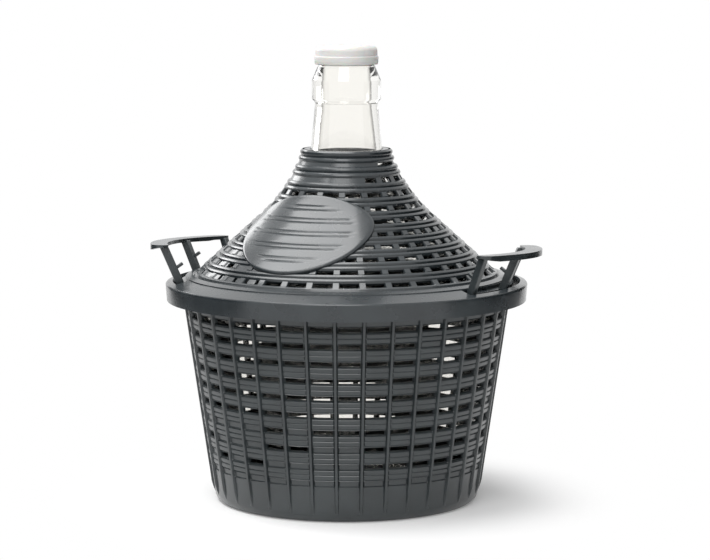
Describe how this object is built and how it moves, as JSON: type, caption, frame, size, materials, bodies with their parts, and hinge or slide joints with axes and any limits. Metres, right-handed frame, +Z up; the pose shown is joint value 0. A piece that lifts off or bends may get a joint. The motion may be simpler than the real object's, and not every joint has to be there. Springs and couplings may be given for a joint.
{
  "type": "demijohn in plastic basket",
  "caption": "Glass demijohn held in a slotted plastic basket with two carrying handles, a conical slotted cover with a blank label plate, and a push-on cap.",
  "frame": {"origin": "centre of the basket's flat base, on the surface it stands on", "axes": "+Z up along the bottle's axis; the two handles lie along +X and -X; the label plate faces -Y, about ten degrees towards -X"},
  "size_m": [0.2756, 0.255, 0.3202],
  "materials": {
    "basket_plastic": "satin moulded dark grey-green polypropylene",
    "cover_plastic": "satin moulded dark grey-green polypropylene",
    "clear_glass": "clear pressed and blown glass",
    "cap_plastic": "translucent white polyethylene"
  },
  "bodies": {
    "demijohn": {"lower_basket": "basket_plastic", "upper_basket": "cover_plastic", "bottle": "clear_glass"},
    "cap": {"cap": "cap_plastic"}
  },
  "joints": [
    {"name": "cap_lift", "type": "slide", "parent": "demijohn", "child": "cap", "axis": [0, 0, 1], "range_m": [0, 0.08]}
  ]
}
